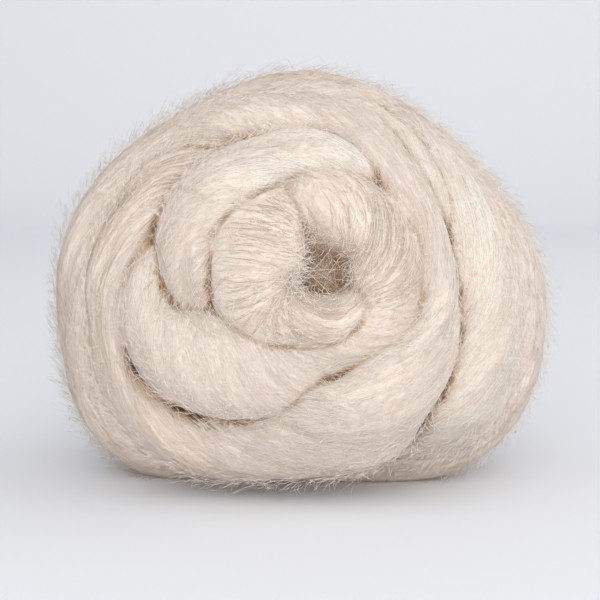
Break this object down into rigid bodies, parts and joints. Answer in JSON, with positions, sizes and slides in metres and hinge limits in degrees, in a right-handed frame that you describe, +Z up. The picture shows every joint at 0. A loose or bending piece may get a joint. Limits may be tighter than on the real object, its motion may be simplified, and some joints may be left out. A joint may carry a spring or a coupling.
{
  "type": "wool roving ball",
  "caption": "Hand-wound ball of combed wool roving: thick soft turns close on a small hollow in its front face, standing on a small flat foot.",
  "frame": {"origin": "middle of the box of the ball, on the plane of its flat foot", "axes": "+Z up, +X to the right and -Y to the front, the face with the hollow"},
  "size_m": [0.153, 0.1086, 0.1257],
  "materials": {
    "wool": "matt combed wool with fine loose fibres"
  },
  "bodies": {
    "root": {"roving": "wool"}
  },
  "joints": []
}
